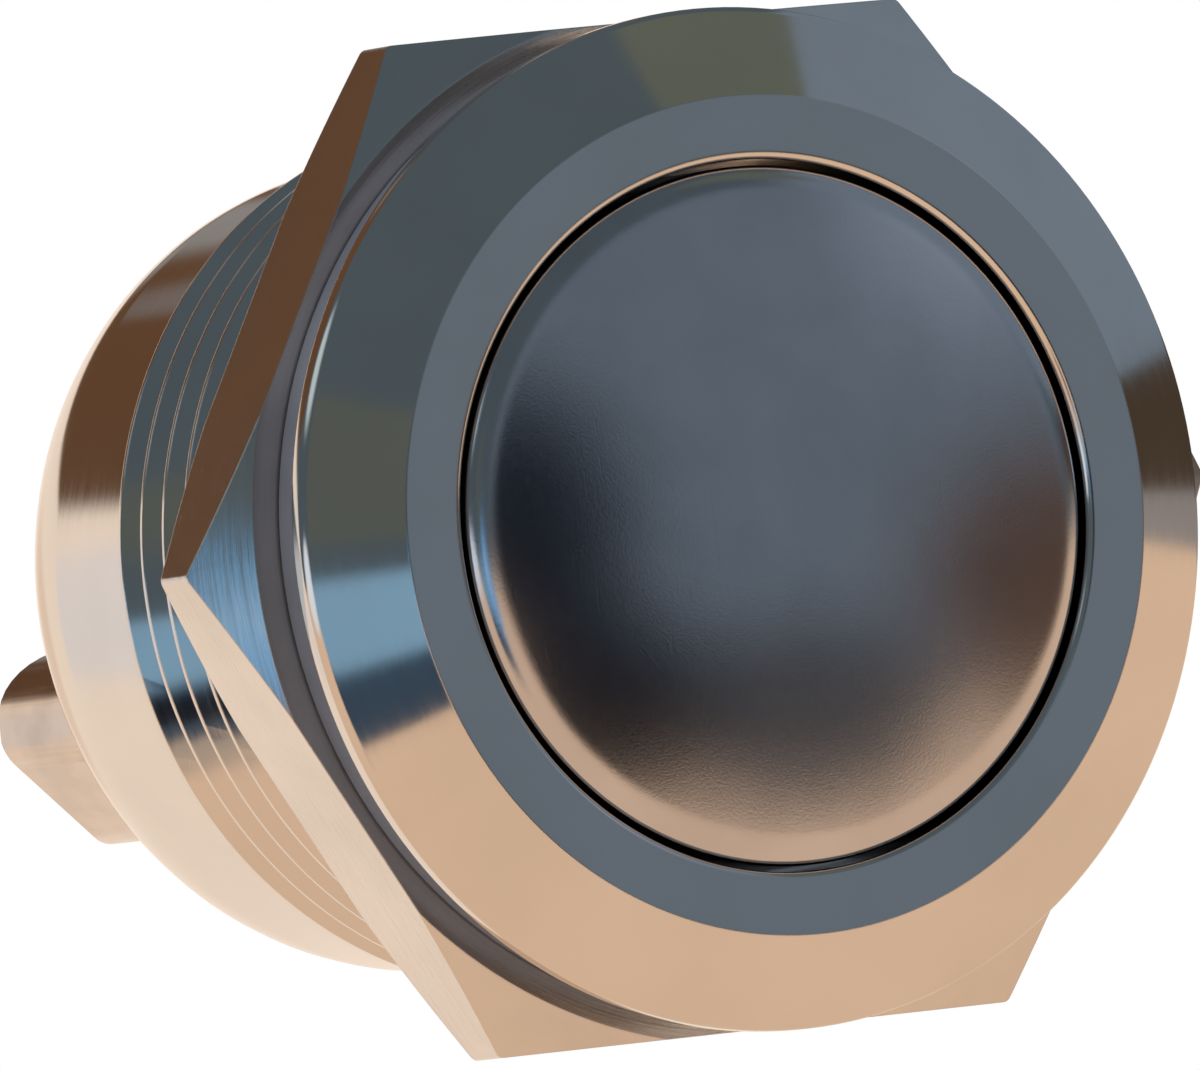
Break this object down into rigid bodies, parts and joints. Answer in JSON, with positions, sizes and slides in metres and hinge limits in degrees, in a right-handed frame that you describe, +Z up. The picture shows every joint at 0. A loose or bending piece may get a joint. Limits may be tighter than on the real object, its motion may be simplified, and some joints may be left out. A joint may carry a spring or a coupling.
{
  "type": "pushbutton switch",
  "caption": "Round panel-mounted metal pushbutton with a domed cap flush in a bevelled bezel, a threaded barrel with gasket and hexagon nut, a smooth rounded skirt and screw terminals behind.",
  "frame": {"origin": "on the axis, in the rear face of the bezel's flange, where the panel seats", "axes": "+Y from the front to the terminals along the axis, so the front looks towards -Y; +Z up, square to two flats of the nut; +X to the right seen from the front"},
  "size_m": [0.0252, 0.0258, 0.022],
  "materials": {
    "plated_body": "nickel-plated brass, turned and polished",
    "cap_metal": "fine satin",
    "nut_metal": "nickel-plated, milled flats and turned faces",
    "gasket": "matt grey",
    "terminal_metal": "nickel-plated brass",
    "screw_steel": "zinc-plated",
    "inner_steel": "plain",
    "bush_plastic": "natural acetal",
    "seal_rubber": "matt black",
    "moulding": "black phenolic",
    "resin": "black casting resin",
    "contact_brass": "plain",
    "contact_silver": "silver-plated"
  },
  "bodies": {
    "switch_body": {"housing": "plated_body", "panel_gasket": "gasket", "seat_washer": "inner_steel", "guide_bush": "bush_plastic", "stem_seal": "seal_rubber", "fixed_contact_left": "contact_silver", "fixed_contact_right": "contact_silver", "base_insulator": "moulding", "base_seal": "seal_rubber", "rear_potting": "resin", "terminal_block_left": "terminal_metal", "terminal_block_right": "terminal_metal"},
    "button": {"button_cap": "cap_metal", "plunger": "inner_steel", "retaining_clip": "inner_steel", "contact_carrier": "moulding", "bridge_guide": "inner_steel", "return_spring": "inner_steel", "contact_spring": "inner_steel"},
    "bridge": {"contact_bridge": "contact_brass", "bridge_tips": "contact_silver"},
    "nut": {"hex_nut": "nut_metal"},
    "screw_left": {"terminal_screw_left": "screw_steel"},
    "screw_right": {"terminal_screw_right": "screw_steel"}
  },
  "joints": [
    {"name": "button_press", "type": "slide", "parent": "switch_body", "child": "button", "axis": [0, 1, 0], "range_m": [0, 0.0015], "stiffness_N_per_m": 1000, "springref_m": -0.0015, "deforming": ["return_spring"]},
    {"name": "contact_float", "type": "slide", "parent": "button", "child": "bridge", "axis": [0, 1, 0], "range_m": [-0.0005, 0], "deforming": ["contact_spring"]},
    {"name": "nut_turn", "type": "hinge", "parent": "switch_body", "child": "nut", "pos_m": [0, 0.0026, 0], "axis": [0, 1, 0], "continuous": true},
    {"name": "screw_left_turn", "type": "hinge", "parent": "switch_body", "child": "screw_left", "pos_m": [-0.00388, 0.0233, -0.00306], "axis": [0, 1, 0], "continuous": true},
    {"name": "screw_right_turn", "type": "hinge", "parent": "switch_body", "child": "screw_right", "pos_m": [0.00388, 0.0233, 0.00306], "axis": [0, 1, 0], "continuous": true}
  ],
  "couplings": [
    {"joint": "contact_float", "follows": "button_press", "ratio": -0.3333}
  ]
}
